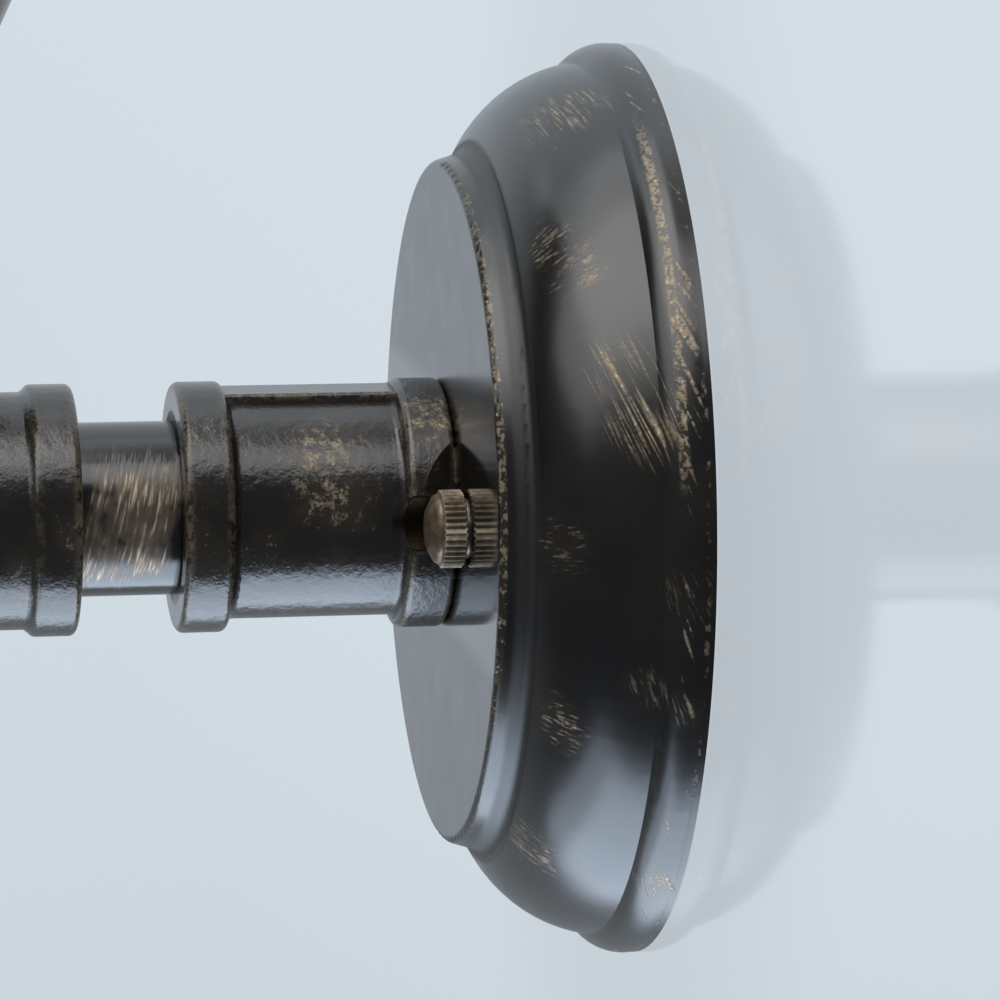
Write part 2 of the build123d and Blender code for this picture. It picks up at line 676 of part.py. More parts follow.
tail_r = CORE_R
shell_in = [(SHELL_R, FLOOR_Z + SHELL_SHEET)] + waves(SHELL_R, SHELL_WAVE, FLOOR_Z + 1.5, SHELL_LEN - 2.0)
shell_in.append((SHELL_R, FLOOR_Z + SHELL_LEN))
shell_out = [(r + SHELL_SHEET, h) for r, h in reversed(shell_in[1:])]
lip = (SHELL_R + SHELL_SHEET, FLOOR_Z)
shell_floor = [(CONTACT_R + 1.5, FLOOR_Z), (CONTACT_R + 1.5, FLOOR_Z + SHELL_SHEET)]
shell = turned_head(shell_floor + shell_in + shell_out + [lip])
tail_h = WELL_FLOOR - LEAD_SLOT_H - 4.0
shell = shell + rod_up(tail_r, FLOOR_Z - tail_h, tail_h, NEUTRAL_X)
save("screw_shell", HEAD * shell)
contact = turned_head(
    [
        (0, FLOOR_Z),
        (CONTACT_R, FLOOR_Z),
        (CONTACT_R, FLOOR_Z + 0.6),
        (CONTACT_R * 0.6, FLOOR_Z + 1.0, 0.5),
        (CONTACT_R * 0.42, FLOOR_Z + CONTACT_H, 0.6),
        (0, FLOOR_Z + CONTACT_H),
    ]
)
contact = contact + rod_up(tail_r, FLOOR_Z - tail_h, tail_h, LIVE_X)
save("centre_contact", HEAD * contact)
lead_bend_z = HOLDER_Z + LEAD_SLOT_H - CORE_R - 0.4
for name, x in (("live", LIVE_X), ("neutral", NEUTRAL_X)):
    start_x = math.copysign(1.4, x)
    route = [
        (start_x, 0, HOLDER_Z - SMALL_GAP),
        (start_x, 0, lead_bend_z),
        (x, 0, lead_bend_z),
        (x, 0, FLOOR_Z - tail_h),
    ]
    bend = min(1.2, abs(x - start_x) * 0.45)
    save(f"holder_lead_{name}", HEAD * lead(route, CORE_R, bend))

# Bulb: tip, insulator, screw cap, glass, stem, supports and filament
tip = turned_head([(0, TIP_Z), (TIP_R * 0.6, TIP_Z, 0.8), (TIP_R, TIP_Z + TIP_H), (0, TIP_Z + TIP_H)])
save("bulb_tip", HEAD * tip)
cap_low = CAP_R - CAP_WAVE
insulator_z = TIP_Z + TIP_H
insulator = turned_head(
    [
        (0, insulator_z),
        (TIP_R + 1.2, insulator_z, 0.4),
        (cap_low - 1.2, CAP_Z),
        (0, CAP_Z),
    ]
)
save("bulb_insulator", HEAD * insulator)
cap_waves = waves(cap_low, CAP_WAVE, CAP_Z + 0.6, CAP_THREAD_LEN - 0.8)
cap_out = [(cap_low - 1.6, CAP_Z), (cap_low - 0.4, CAP_Z)]
cap_out += cap_waves
cap_out += [(CAP_R, CAP_TOP - CAP_RIM_LEN + 0.6), (CAP_R, CAP_TOP)]
cap_in = [(CAP_R - CAP_SHEET, CAP_TOP), (CAP_R - CAP_SHEET, CAP_TOP - CAP_RIM_LEN + 0.2)]
cap_in += [(r - CAP_SHEET, h) for r, h in reversed(cap_waves)]
cap_in += [(cap_low - 0.4 - CAP_SHEET, CAP_Z + CAP_SHEET), (cap_low - 1.6, CAP_Z + CAP_SHEET)]
save("bulb_cap", HEAD * turned_head(cap_out + cap_in))

neck = GLASS_NECK_R
crown_z = GLASS_Z + GLASS_H - GLASS_R


def glass_edges(wall):
    """Neck, cone, side and round crown of the bulb, from the neck up."""
    low = neck - wall
    high = GLASS_R - wall
    side = [(low, GLASS_Z, 0), (low, GLASS_Z + GLASS_NECK_H, GLASS_NECK_ROUND)]
    side += [(high, crown_z - GLASS_SIDE_H, GLASS_SIDE_ROUND), (high, crown_z, 0)]
    edges = rounded_edges([(Vector(*up(r, h)), turn) for r, h, turn in side], False)
    half = high * math.sqrt(0.5)
    edges.append(ThreePointArc(up(high, crown_z), up(half, crown_z + half), up(0, crown_z + high)))
    return edges


glass_path = glass_edges(0.0) + glass_edges(GLASS_WALL)
glass_path.append(Line(up(0, crown_z + GLASS_R), up(0, crown_z + GLASS_R - GLASS_WALL)))
glass_path.append(Line(up(neck, GLASS_Z), up(neck - GLASS_WALL, GLASS_Z)))
save("bulb_glass", HEAD * revolve(make_face(glass_path), Axis.Z))
stem_r = neck - GLASS_WALL - GLASS_NECK_GAP
stem = turned_head(
    [
        (0, GLASS_Z),
        (stem_r, GLASS_Z),
        (stem_r, GLASS_Z + 1.2, 0.4),
        (stem_r * 0.52, GLASS_Z + 6, 3.0),
        (stem_r * 0.34, GLASS_Z + STEM_H * 0.75, 3.0),
        (stem_r * 0.42, GLASS_Z + STEM_H - 2.0, 1.0),
        (ROD_R, GLASS_Z + STEM_H),
        (ROD_R, GLASS_Z + ROD_H),
        (0, GLASS_Z + ROD_H),
    ]
)
save("bulb_stem", HEAD * stem)


def hook(k, r, h):
    turn = math.pi * k / HOOKS
    return (r * math.cos(turn), r * math.sin(turn), GLASS_Z + h)


supports = []
strand = []
for k in range(2 * HOOKS):
    r, h = (HOOK_HIGH_R, HOOK_HIGH_H) if k % 2 else (HOOK_LOW_R, HOOK_LOW_H)
    supports.append(straight_rod(hook(k, ROD_R + SMALL_GAP, h), hook(k, r, h), SUPPORT_R))
    strand.append(hook(k, r + FILAMENT_R + 2 * SMALL_GAP, h))
save("bulb_supports", HEAD * Compound(supports))
save("bulb_filament", HEAD * lead(strand, FILAMENT_R, 0.6))
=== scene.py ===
"""Looks of a pipe wall sconce: worn bronze paint, brushed pipe, porcelain, brass and a clear bulb."""

import json
import math

import bpy
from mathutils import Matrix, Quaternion, Vector


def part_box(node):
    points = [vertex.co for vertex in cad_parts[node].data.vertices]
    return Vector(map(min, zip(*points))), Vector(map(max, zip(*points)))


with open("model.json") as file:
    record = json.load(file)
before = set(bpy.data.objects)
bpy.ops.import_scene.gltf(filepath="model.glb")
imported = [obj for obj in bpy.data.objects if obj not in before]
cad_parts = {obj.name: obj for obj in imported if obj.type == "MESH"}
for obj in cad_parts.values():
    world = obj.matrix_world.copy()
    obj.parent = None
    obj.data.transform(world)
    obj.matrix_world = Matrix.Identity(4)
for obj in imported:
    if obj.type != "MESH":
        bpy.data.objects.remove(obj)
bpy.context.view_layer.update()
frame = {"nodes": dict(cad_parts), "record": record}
nodes = frame["nodes"]

MM = 1000.0

# Camera fitted to the photograph: place and aim (m), roll (radians), sensor and lens (mm)
CAMERA_PLACE = (0.56116, -0.11799, 0.09865)
CAMERA_AIM = (-0.96909, 0.1785, -0.17032)
CAMERA_ROLL = 0.00911
CAMERA_SENSOR = 36.0
CAMERA_LENS = 167.96

# Stage: wall plane, half width and corners of wall and floor, floor height (m)
WALL_Y = 0.0001
STAGE_HALF = 12.0
SQUARE = [(-1, -1), (1, -1), (1, 1), (-1, 1)]
FLOOR_Z = -1.1

# Wall: its painted light, darker towards the bottom (mm), the painted shade around the canopy (radii in mm)
# and its gloss
WALL_LIGHT_FALL = {"From Min": -150, "From Max": 100, "To Min": 0.97, "To Max": 1.04}
WALL_SHADE_END = 125.0
WALL_SHADE_FULL = 50.0
WALL_SHADE = 0.10
WALL_ROUGHNESS = 0.08
WALL_IOR = 1.40
WALL_SHINE_MOST = 0.21

# Softboxes: centre (m), width and depth (m), brightness and colour
WHITE = (1, 1, 1)
COOL = (0.83, 0.98, 1.18)
SOFTBOXES = {
    "softbox_below": ((-0.025, -0.065, -0.70), 0.60, 0.62, 1.35, COOL),
    "softbox_below_wide": ((-0.005, -0.195, -0.72), 0.73, 0.89, 1.3, COOL),
    "softbox_above": ((0.25, -0.40, 0.60), 0.46, 0.76, 0.9, WHITE),
    "softbox_above_wide": ((0.30, -0.96, 0.62), 0.96, 1.88, 0.95, WHITE),
    "softbox_left": ((-0.39, -1.22, 0.62), 0.42, 1.35, 0.45, WHITE),
    "softbox_near": ((0.42, 0.15, 0.62), 0.44, 0.34, 1.1, WHITE),
    "softbox_far": ((-0.06, 0.15, 0.62), 0.44, 0.34, 0.25, WHITE),
}
ROOM_DARK = (0.058, 0.059, 0.062, 1)
ROOM_PLAIN = (0.40, 0.41, 0.42, 1)

# Finishes, as linear colours
PALE_WALL = (0.645, 0.716, 0.776, 1)
PALE_FLOOR = (0.70, 0.76, 0.81, 1)
BLACK_PAINT = (0.0045, 0.0044, 0.0044, 1)
BROWN_GLAZE = (0.034, 0.026, 0.017, 1)
BRASS_DULL = (0.46, 0.355, 0.21, 1)
# BRASS_PALE is also the colour of the painted glints on worn metal.
BRASS_PALE = (0.80, 0.71, 0.54, 1)
COPPER = (0.42, 0.265, 0.15, 1)
PIPE_BRONZE = (0.27, 0.20, 0.13, 1)
PIPE_PALE = (0.82, 0.70, 0.53, 1)
PIPE_FILM = (0.085, 0.062, 0.041, 1)

# Plain finishes: main and darker colour, roughness and, where it isn't the usual one, the grain's size
METALS = {
    "bare_pipe": ((0.42, 0.42, 0.42, 1), (0.20, 0.19, 0.18, 1), 0.42),
    "zinc_steel": ((0.62, 0.63, 0.64, 1), (0.40, 0.41, 0.43, 1), 0.38, 1.5),
    "screw_steel": ((0.56, 0.56, 0.57, 1), (0.30, 0.30, 0.31, 1), 0.34),
    "green_screw": ((0.12, 0.38, 0.16, 1), (0.06, 0.20, 0.09, 1), 0.36),
    "terminal_brass": ((0.68, 0.52, 0.26, 1), (0.42, 0.30, 0.14, 1), 0.34),
    "contact_brass": ((0.70, 0.54, 0.27, 1), (0.46, 0.33, 0.15, 1), 0.32),
    "cap_brass": ((0.72, 0.56, 0.28, 1), (0.50, 0.36, 0.17, 1), 0.28),
    "solder": ((0.60, 0.60, 0.62, 1), (0.38, 0.38, 0.40, 1), 0.40),
    "support_wire": ((0.50, 0.49, 0.47, 1), (0.30, 0.29, 0.28, 1), 0.36, 0.3),
    "carbon_filament": ((0.16, 0.12, 0.10, 1), (0.07, 0.055, 0.05, 1), 0.5, 0.3),
}
MOULDINGS = {
    "bush_plastic": ((0.030, 0.030, 0.032, 1), (0.018, 0.018, 0.018, 1), 0.42),
    "block_plastic": ((0.78, 0.76, 0.70, 1), (0.62, 0.60, 0.54, 1), 0.40),
    "cable_sheath": ((0.035, 0.035, 0.036, 1), (0.020, 0.020, 0.021, 1), 0.50),
    "core_brown": ((0.120, 0.052, 0.022, 1), (0.080, 0.034, 0.016, 1), 0.42),
    "core_blue": ((0.022, 0.105, 0.330, 1), (0.014, 0.070, 0.240, 1), 0.42),
    "core_green": ((0.080, 0.300, 0.060, 1), (0.050, 0.210, 0.040, 1), 0.42),
    "porcelain": ((0.80, 0.785, 0.74, 1), (0.66, 0.64, 0.58, 1), 0.20, 1.2),
    "vitrite": ((0.012, 0.011, 0.014, 1), (0.022, 0.020, 0.024, 1), 0.14),
}

# Glass: its tint and the paler tint of its streaks
GLASSES = {
    "bulb_glass": ((0.95, 0.95, 0.93, 1), (0.99, 0.99, 0.98, 1)),
    "stem_glass": ((0.92, 0.95, 0.94, 1), (0.98, 0.99, 0.98, 1)),
}

# Paint: its index, its roughness over the canopy and beside the arm, and that of worn metal
PAINT_IOR = 1.95
CANOPY_ROUGHNESS = 0.20
FACE_ROUGHNESS = 0.09
WORN_ROUGHNESS = 0.55

# Canopy: where its profile turns, as radius plus drop behind the face (mm), and how wide each turn
# is marked, as half width and soft edge
CANOPY_DEPTH = -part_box("canopy")[0].y * MM
FACE_EDGE_V = 42.6
COVE_V = 46.8
RIDGE_V = 74.8
RIM_V = 76.3
EDGE_BAND = (0.45, 0.4)
COVE_BAND = (1.6, 1.2)
RIDGE_BAND = (0.4, 0.7)
RIM_BAND = (0.9, 0.6)
SPARSE_BAND = (1.2, 0.6)

# Heights on the canopy that are marked most: middle, half and soft edge (mm)
EDGE_HEIGHTS = (16.0, 11.0, 20.0)
RIDGE_HEIGHTS = (30.0, 15.0, 6.0)
RIM_HEIGHTS = (21.0, 9.0, 7.0)
ARM_HEIGHTS = (0.0, 11.0, 5.0)

# Dry brushing over the canopy: turn of the strokes per millimetre, their spacing around and
# along (mm), and the places rubbed, each as centre (mm), radius (mm) and strength
STROKE_R = 52.0
HAIR_WIDTH = 0.4
HAIR_LENGTH = 0.7
BRUSHED = [
    (-0.034, 1.7, 6.0, [
        ((47.4, -9.3, 23.4), 6.5, 0.9),
        ((50.6, -7.2, 17.6), 7.0, 1.0),
        ((40.0, -2.6, -39.6), 5.0, 1.0),
    ]),
    (0.002, 0.8, 4.0, [
        ((32.7, -15.6, 36.3), 4.5, 0.8),
        ((38.2, -13.0, 33.6), 5.5, 0.8),
        ((47.8, -16.4, 3.1), 5.0, 0.5),
        ((45.1, -15.7, -18.6), 5.0, 0.9),
        ((30.8, -16.3, -36.9), 6.5, 0.9),
    ]),
    (-0.066, 3.5, 1.6, [
        ((16.5, -11.0, 49.6), 9.0, 0.8),
    ]),
    (-0.030, 1.5, 2.2, [
        ((52.1, -6.9, -13.2), 4.2, 0.5),
        ((53.9, -3.2, -15.5), 3.0, 0.8),
        ((56.3, -2.2, -2.0), 5.5, 0.35),
    ]),
]

# Worn places on the coupling's front: centre (mm), radius (mm) and strength
COUPLING_WORN = [
    ((9.0, -25.0, 12.4), 6.5, 1.0),
    ((11.2, -38.5, 8.2), 7.0, 0.9),
    ((13.4, -38.0, 3.2), 6.0, 0.8),
    ((14.2, -25.0, 5.0), 4.0, 0.5),
]


class Num:
    """A number that varies over a surface; arithmetic on it adds Math nodes."""

    def __init__(self, graph, socket):
        self.graph = graph
        self.socket = socket

    def __add__(self, other):
        return self.graph.math("ADD", self, other)

    def __sub__(self, other):
        return self.graph.math("SUBTRACT", self, other)

    def __rsub__(self, other):
        return self.graph.math("SUBTRACT", other, self)

    def __mul__(self, other):
        return self.graph.math("MULTIPLY", self, other)

    def __truediv__(self, other):
        return self.graph.math("DIVIDE", self, other)

    __radd__ = __add__
    __rmul__ = __mul__


class Graph:
    """The shader nodes of one material or world, built by short calls."""

    def __init__(self, tree, output):
        self.tree = tree
        self.tree.nodes.clear()
        self.output = self.tree.nodes.new(output)

    def feed(self, socket, value):
        """Links a varying value to a socket, or sets a constant on it."""
        if isinstance(value, Num):
            value = value.socket
        if isinstance(value, bpy.types.NodeSocket):
            self.tree.links.new(value, socket)
        else:
            socket.default_value = value

    def node(self, kind, inputs, **settings):
        made = self.tree.nodes.new("ShaderNode" + kind)
        for key, value in settings.items():
            setattr(made, key, value)
        for key, value in inputs.items():
            self.feed(made.inputs[key], value)
        return made

    def num(self, kind, output, inputs, **settings):
        return Num(self, self.node(kind, inputs, **settings).outputs[output])

    def math(self, operation, *values):
        return self.num("Math", 0, dict(enumerate(values)), operation=operation)

    def most(self, first, *rest):
        for value in rest:
            first = self.math("MAXIMUM", first, value)
        return first

    def clamp(self, value):
        return self.num("Math", 0, {0: value, 1: 0.0}, operation="ADD", use_clamp=True)

    def rise(self, value, low, high):
        """0 below low, 1 above high, smooth between; falls instead where low is above high."""
        ends = {"Value": value, "From Min": low, "From Max": high}
        return self.num("MapRange", "Result", ends, interpolation_type="SMOOTHSTEP")

    def hill(self, value, centre, half, soft):
        """1 within half of the centre, falling to 0 over soft on both sides."""
        return self.rise(self.math("ABSOLUTE", value - centre), half + soft, half)

    def place(self):
        """The point on the piece at rest, in millimetres."""
        point = self.node("TexCoord", {}).outputs["Object"]
        return self.node("VectorMath", {0: point, 3: MM}, operation="SCALE").outputs["Vector"]

    def parts(self, vector):
        split = self.node("SeparateXYZ", {0: vector})
        return [Num(self, socket) for socket in split.outputs]

    def vector(self, x, y, z):
        return self.node("CombineXYZ", {0: x, 1: y, 2: z}).outputs[0]

    def stretch(self, vector, scale, shift=(0, 0, 0)):
        values = {0: vector, 1: scale, 2: shift}
        return self.node("VectorMath", values, operation="MULTIPLY_ADD").outputs[0]

    def along(self, vector, direction):
        return self.num("VectorMath", "Value", {0: vector, 1: tuple(direction)}, operation="DOT_PRODUCT")

    def far(self, vector, centre):
        return self.num("VectorMath", "Value", {0: vector, 1: tuple(centre)}, operation="DISTANCE")

    def noise(self, vector, size, detail=2.0, rough=0.5):
        """Cloudy noise of about 0.25 to 0.75, with features about size apart."""
        values = {"Vector": vector, "Scale": 1.0 / size, "Detail": detail, "Roughness": rough}
        return self.num("TexNoise", 0, values)

    def strokes(self, spoke, reach, twist, width, length, seed):
        """Noise drawn out over a turned face as a dry brush leaves it; twist is its turn per millimetre."""
        turn = {"Vector": spoke, "Angle": reach * twist}
        turned = self.node("VectorRotate", turn, rotation_type="Y_AXIS").outputs[0]
        across = self.stretch(turned, (STROKE_R / width, 0, STROKE_R / width))
        down = self.vector(0, reach / length + seed, 0)
        drawn = self.node("VectorMath", {0: across, 1: down}, operation="ADD")
        return self.noise(drawn.outputs[0], 1.0, 1.0, 0.4)

    def mix(self, share, first, second):
        made = self.node("Mix", {0: share, 6: first, 7: second}, data_type="RGBA")
        return made.outputs[2]

    def blend(self, share, first, second):
        """A number between first and second."""
        made = self.node("Mix", {0: share, 2: first, 3: second}, data_type="FLOAT")
        return Num(self, made.outputs[0])

    def open_share(self, reach, inside):
        """How open the piece is around a point, outside or inside its skin; reach in millimetres."""
        settings = {"inside": inside, "only_local": True, "samples": 8}
        return self.num("AmbientOcclusion", "AO", {"Distance": reach / MM}, **settings)

    def convex(self, reach):
        """Near 1 on outside edges, 0 on flats and in corners."""
        return self.rise(self.open_share(reach, True), 0.96, 0.62)

    def hollow(self, reach):
        """Near 1 in inside corners and grooves."""
        return self.rise(self.open_share(reach, False), 0.80, 0.45)

    def bump(self, height, depth, normal=None):
        """A surface normal from a height of 0 to 1 that stands for depth millimetres."""
        inputs = {"Height": height, "Distance": depth / MM, "Strength": 1.0}
        if normal is not None:
            inputs["Normal"] = normal
        return self.node("Bump", inputs).outputs[0]

    def surface(self, **inputs):
        """Ends the graph in a Principled surface; names use _ for spaces."""
        named = {key.replace("_", " "): value for key, value in inputs.items()}
        shader = self.node("BsdfPrincipled", named)
        self.tree.links.new(shader.outputs[0], self.output.inputs["Surface"])


def new_graph(name):
    material = bpy.data.materials.new(name)
    material.use_nodes = True
    return material, Graph(material.node_tree, "ShaderNodeOutputMaterial")


def worn_paint(g, point, wear, haze, roughness, normal, shade_metal=0.0):
    """Black-bronze paint, hazed brown, dull brass where it is worn through, and dark metal where
    shade_metal paints shade.
    """
    mottle = g.noise(point, 2.6, 3.0, 0.6)
    # Painted glints: paler brass at random spots of the worn metal.
    glint = g.noise(point, 0.55, 2.0, 0.6)
    dull = g.mix(g.rise(mottle, 0.50, 0.66), BRASS_DULL, COPPER)
    metal = g.mix(g.rise(glint, 0.54, 0.68), dull, BRASS_PALE)
    paint = g.mix(haze, BLACK_PAINT, BROWN_GLAZE)
    g.surface(
        Base_Color=g.mix(wear, paint, metal),
        Metallic=wear * 0.45 + shade_metal,
        Roughness=g.blend(wear, roughness, WORN_ROUGHNESS),
        IOR=PAINT_IOR,
        Normal=normal,
    )


def rubbed_places(g, point, places):
    """How strongly each place is rubbed; the same on both sides of the sconce."""
    x, y, z = g.parts(point)
    folded = g.vector(g.math("ABSOLUTE", x), y, z)
    spots = [
        g.rise(g.far(folded, centre), radius, radius * 0.3) * strength
        for centre, radius, strength in places
    ]
    return g.most(*spots)


def canopy_paint(name):
    """Satin paint, dry brushed in places, worn on its turns and smoother on the face beside the arm."""
    material, g = new_graph(name)
    point = g.place()
    x, y, z = g.parts(point)
    radius = g.math("SQRT", x * x + z * z)
    reach = radius + (y + CANOPY_DEPTH)
    spoke = g.vector(x / radius, 0, z / radius)
    grain = g.noise(point, 0.5, 2.0, 0.6)
    blotch = g.noise(point, 1.2, 3.0, 0.6)
    patches = g.noise(point, 17.0, 2.0, 0.55)
    dots = g.rise(grain, 0.36, 0.56)
    lines, hairs, spots = [], [], []
    for count, (twist, width, length, places) in enumerate(BRUSHED):
        seed = 8.0 * count
        lines.append(g.strokes(spoke, reach, twist, width, length, 3.0 + seed))
        hairs.append(g.strokes(spoke, reach, twist, width * HAIR_WIDTH, length * HAIR_LENGTH, 50.0 + seed))
        spots.append(rubbed_places(g, point, places))
    marks = [
        g.rise(g.most(line, hair) + spot * 0.12, 0.62, 0.92) * spot
        for line, hair, spot in zip(lines, hairs, spots)
    ]
    body = g.most(*marks) * (dots * 0.9 + 0.35)
    chips = blotch * 0.6 + grain * 0.4
    edge_zone = g.hill(reach, FACE_EDGE_V, *EDGE_BAND)
    edge = edge_zone * g.rise(chips + g.hill(z, *EDGE_HEIGHTS) * 0.09, 0.56, 0.66)
    ridge_zone = g.hill(reach, RIDGE_V, *RIDGE_BAND) * g.hill(z, *RIDGE_HEIGHTS)
    ridge = ridge_zone * g.rise(chips, 0.46, 0.56)
    outer_zone = g.hill(reach, RIM_V, *RIM_BAND) * g.hill(z, *RIM_HEIGHTS)
    sparse_zone = g.hill(reach, RIM_V, *SPARSE_BAND)
    rim = g.rise(lines[0] + outer_zone * 0.10, 0.66, 0.76) * sparse_zone * dots
    lip = g.hill(y, -0.9, 0.15, 0.25) * g.rise(blotch, 0.54, 0.68) * 0.3
    front = g.rise(y, -0.3, -0.7)
    wear = g.clamp(g.most(body, edge * 0.6, ridge * 0.72, rim * 0.75, lip) * front)
    turns = (edge_zone + ridge_zone) * 0.5
    haze = g.clamp(g.most(*spots) * 0.35 + g.rise(patches, 0.45, 0.75) * 0.25 + turns)
    dull = g.noise(point, 6.0, 3.0, 0.6) * 0.09 + g.hill(reach, COVE_V, *COVE_BAND) * 0.22
    satin = CANOPY_ROUGHNESS + dull
    smooth = g.rise(reach, FACE_EDGE_V - 0.5, FACE_EDGE_V - 1.5) * g.hill(z, *ARM_HEIGHTS)
    orange_peel = g.noise(point, 1.7, 2.0, 0.5) * (1.0 - smooth * 0.8)
    normal = g.bump(orange_peel, 0.010, g.bump(wear, 0.03))
    worn_paint(g, point, wear, haze, g.blend(smooth, satin, FACE_ROUGHNESS), normal)
    return material


def cast_iron(name, places=(), pockets=()):
    """Painted casting: a scaly skin, worn on its edges and at the places given, with painted shade: blacker
    paint in its corners and dull dark metal in its pockets.
    """
    material, g = new_graph(name)
    point = g.place()
    skin = g.noise(point, 1.4, 3.0, 0.6)
    grit = g.noise(point, 0.38, 2.0, 0.6)
    patches = g.noise(point, 6.5, 2.0, 0.5)
    edges = g.convex(1.1) * g.rise(g.noise(point, 1.2, 2.0, 0.6), 0.38, 0.54)
    x, y, z = g.parts(point)
    flat = g.vector(g.math("ABSOLUTE", x), 0, z)
    # Painted shade: the pockets beside the nuts are coloured as dull dark metal, where shade falls in them.
    pocket_shade = 0.0
    for end, radius in pockets:
        round_hole = g.rise(g.far(flat, (end.x, 0, end.z)), radius + 0.3, radius)
        pocket_shade = g.most(pocket_shade, round_hole * g.rise(y, end.y - 0.2, end.y))
    # Painted shade: inside corners and grooves lose their wear and most of their brown haze and go blacker;
    # the pockets lose their wear too.
    corners = g.most(g.hollow(2.6), pocket_shade)
    rubbed = rubbed_places(g, point, places) if places else g.rise(patches, 0.54, 0.74) * 0.7
    specks = g.rise(skin + rubbed * 0.14, 0.58, 0.74) * rubbed * g.rise(grit, 0.36, 0.56)
    scatter = g.rise(skin * 0.5 + grit * 0.5, 0.58, 0.70) * g.rise(patches, 0.44, 0.60)
    wear = g.clamp(g.most(edges * 0.8, specks * 0.7, scatter * 0.4) * (1.0 - corners))
    brown = g.clamp(0.25 + g.rise(patches, 0.40, 0.68) * 0.4 + g.most(edges, rubbed) * 0.5)
    haze = g.most(brown * (1.0 - corners * 0.8), pocket_shade)
    gloss = 0.15 + grit * 0.14 + corners * 0.5 - pocket_shade * 0.3
    normal = g.bump(skin, 0.10, g.bump(grit, 0.02))
    worn_paint(g, point, wear, haze, gloss, normal, pocket_shade)
    return material


def brushed_pipe(name, middle, half, slant, sides):
    """Pipe under a brown film, with short slanting brass strokes, half its bare length to each side."""
    material, g = new_graph(name)
    point = g.stretch(g.place(), (1, 1, 1), [-step for step in middle])
    along = g.along(point, slant)
    first, second = [g.along(point, side) for side in sides]
    lines = g.noise(g.vector(along / 0.5, first / 5.0, second / 5.0), 1.0, 2.0, 0.6)
    fine = g.noise(g.vector(along / 0.24, first / 3.0, second / 3.0 + 7.0), 1.0, 1.0, 0.5)
    patches = g.noise(point, 3.0, 2.0, 0.6)
    span = g.hill(along + (patches - 0.5) * 3.0, 0.0, half - 1.8, 1.8)
    zone = span * g.hill(second + (lines - 0.5) * 9.0, -0.4, 5.2, 3.2)
    # Painted highlight: the strokes, which are wear, grow denser and paler at two heights where the pipe
    # catches the softboxes.
    highlight_heights = g.hill(second, 4.2, 1.4, 2.4) + g.hill(second, -6.2, 1.0, 2.0)
    film = zone * g.rise(patches, 0.20, 0.50)
    rubbed = g.rise(lines + (patches - 0.5) * 0.4 + highlight_heights * 0.06, 0.44, 0.72) * zone
    streaks = g.rise(lines + (patches - 0.5) * 0.6 + highlight_heights * 0.10, 0.52, 0.76)
    bright = g.rise(fine, 0.44, 0.70) * streaks * zone
    tone = g.mix(rubbed, g.mix(film, BLACK_PAINT, PIPE_FILM), PIPE_BRONZE)
    g.surface(
        Base_Color=g.mix(bright, tone, PIPE_PALE),
        Metallic=rubbed * 0.6,
        Roughness=g.blend(g.most(rubbed, film * 0.6), 0.15, 0.46),
        IOR=PAINT_IOR,
        Normal=g.bump(lines * zone, 0.03, g.bump(patches, 0.015)),
    )
    return material


def bare_metal(name, colour, dark, roughness, grain=0.6):
    """Plain plated or turned metal with fine grain, random darker clouds and painted shade in its hollows.
    """
    material, g = new_graph(name)
    point = g.place()
    cloud = g.noise(point, 4.0 * grain, 3.0, 0.6)
    fine = g.noise(point, 0.35 * grain, 2.0, 0.6)
    # Random darker cloud, and painted shade in the hollows.
    tone_and_hollow_shade = g.clamp(g.rise(cloud, 0.35, 0.70) * 0.45 + g.hollow(0.8) * 0.5)
    g.surface(
        Base_Color=g.mix(tone_and_hollow_shade, colour, dark),
        Metallic=1.0,
        Roughness=roughness + (fine - 0.5) * 0.25,
        Normal=g.bump(fine, 0.008),
    )
    return material


def knurled_bronze(name):
    material, g = new_graph(name)
    point = g.place()
    mottle = g.noise(point, 1.3, 3.0, 0.6)
    # Painted shade: the knurl's grooves are darkened towards brown glaze, together with a random darker
    # mottle.
    groove_shade = g.hollow(0.5)
    crests = g.convex(0.4)
    mottle_and_groove_shade = g.clamp(groove_shade + g.rise(mottle, 0.60, 0.42) * 0.45)
    metal = g.mix(crests * 0.8, PIPE_BRONZE, BRASS_PALE)
    g.surface(
        Base_Color=g.mix(mottle_and_groove_shade, metal, BROWN_GLAZE),
        Metallic=0.7,
        Roughness=0.36 + mottle_and_groove_shade * 0.2,
        Normal=g.bump(mottle, 0.02),
    )
    return material


def moulded(name, colour, dark, roughness, grain=0.5):
    """Moulded plastic, glaze or sheathing with a faint uneven skin and painted shade in its hollows."""
    material, g = new_graph(name)
    point = g.place()
    cloud = g.noise(point, 5.0 * grain, 3.0, 0.55)
    fine = g.noise(point, 0.5 * grain, 2.0, 0.5)
    g.surface(
        # The colour darkens with a random cloud and, as painted shade, in the hollows.
        Base_Color=g.mix(g.clamp(g.rise(cloud, 0.42, 0.72) * 0.6 + g.hollow(1.0) * 0.4), colour, dark),
        Roughness=roughness + (cloud - 0.5) * 0.2,
        IOR=1.5,
        Normal=g.bump(fine, 0.010, g.bump(cloud, 0.02)),
    )
    return material


def clear_glass(name, colour, pale):
    """Drawn glass: its tint thins in faint upright streaks."""
    material, g = new_graph(name)
    streaks = g.noise(g.stretch(g.place(), (0.30, 0.30, 0.04)), 1.0, 2.0, 0.5)
    g.surface(
        Base_Color=g.mix(g.rise(streaks, 0.40, 0.68), colour, pale),
        Roughness=0.02,
        IOR=1.48,
        Transmission_Weight=1.0,
        Normal=g.bump(streaks, 0.03),
    )
    return material


